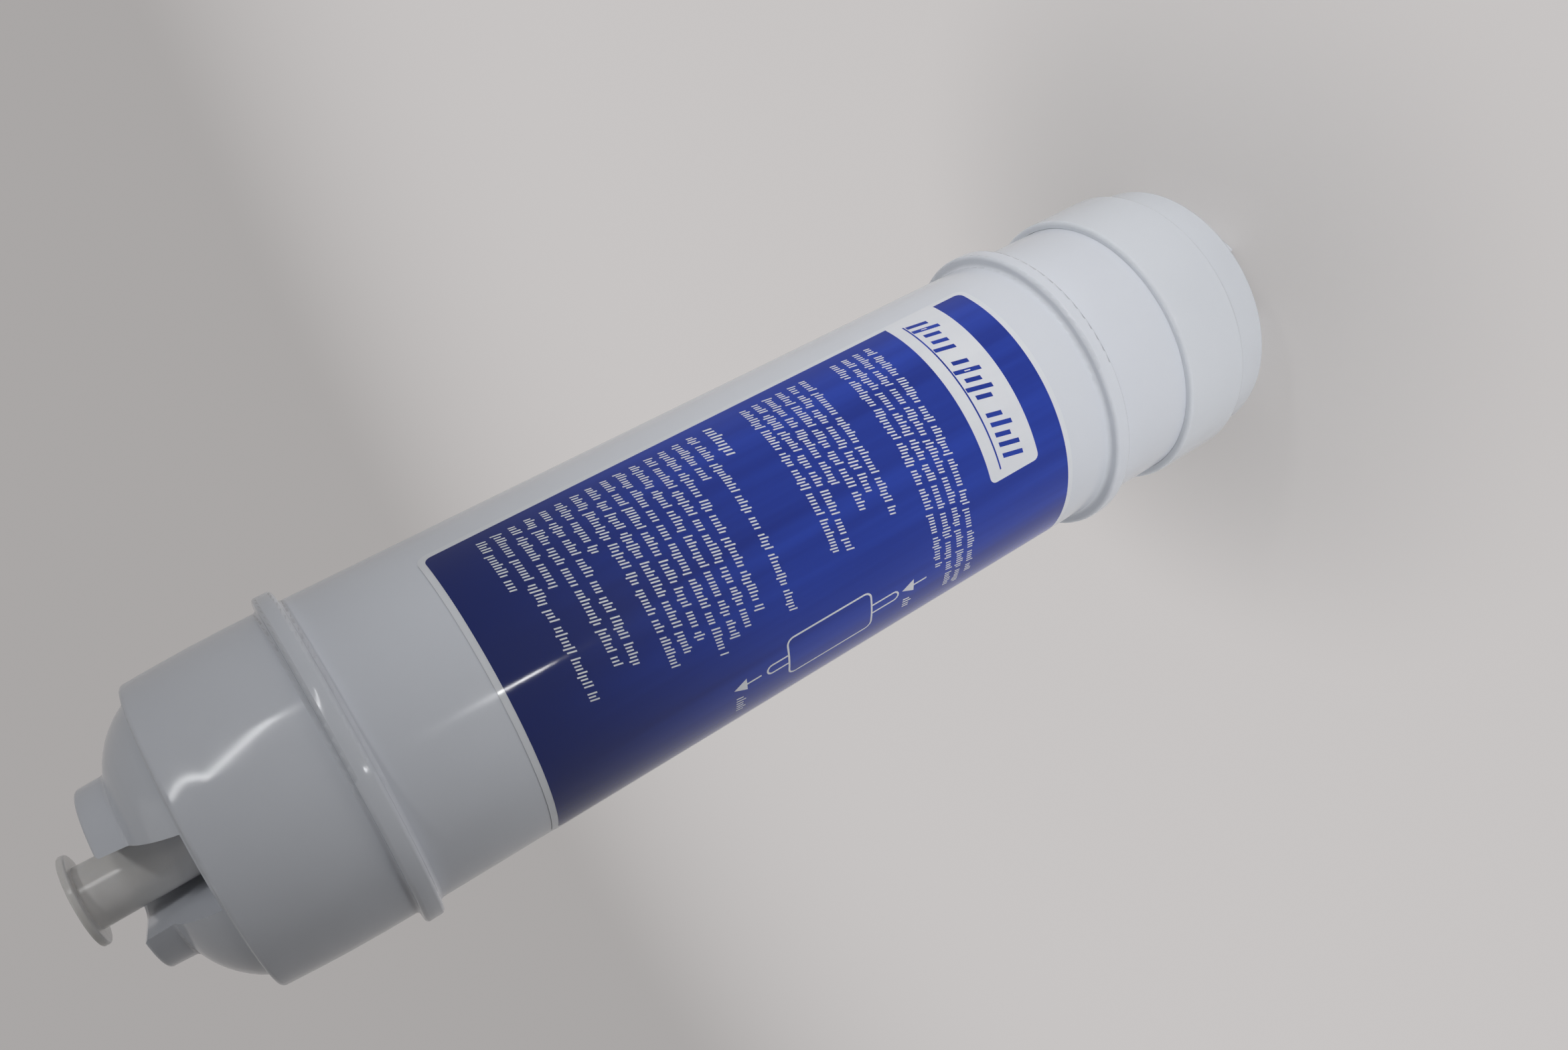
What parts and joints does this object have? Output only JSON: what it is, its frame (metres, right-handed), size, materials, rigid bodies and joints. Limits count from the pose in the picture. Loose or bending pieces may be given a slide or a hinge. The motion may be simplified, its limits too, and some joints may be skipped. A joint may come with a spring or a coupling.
{
  "type": "inline water filter cartridge",
  "caption": "Sealed round inline sediment filter with ribbed white housing, domed ends with slotted guard rings, plug-in ports, blue wrap label and a pull-out transit plug.",
  "frame": {"origin": "on the cartridge axis, in the plane of the inlet guard ring's flat end that it stands on", "axes": "+Z along the cartridge axis from the inlet end up to the outlet end, -Y out of the open side of both fitting recesses and the middle of the label"},
  "size_m": [0.0648, 0.0648, 0.2657],
  "materials": {
    "housing_plastic": "cool white polypropylene with a soft gloss",
    "label_film": "glossy printed film, royal blue with white fields",
    "plug_plastic": "natural translucent polyethylene",
    "fibre": "melt-blown polypropylene fibre",
    "inner_plastic": "plain moulded polypropylene",
    "seal_rubber": "black nitrile rubber"
  },
  "bodies": {
    "cartridge": {"housing": "housing_plastic", "inlet_cap": "housing_plastic", "label": "label_film", "filter_element": "fibre", "element_outlet_cap": "inner_plastic", "element_blind_cap": "inner_plastic", "nipple_seal": "seal_rubber"},
    "plug": {"transit_plug": "plug_plastic"}
  },
  "joints": [
    {"name": "plug_pull", "type": "slide", "parent": "cartridge", "child": "plug", "axis": [0, 0, 1], "range_m": [0, 0.03]}
  ]
}
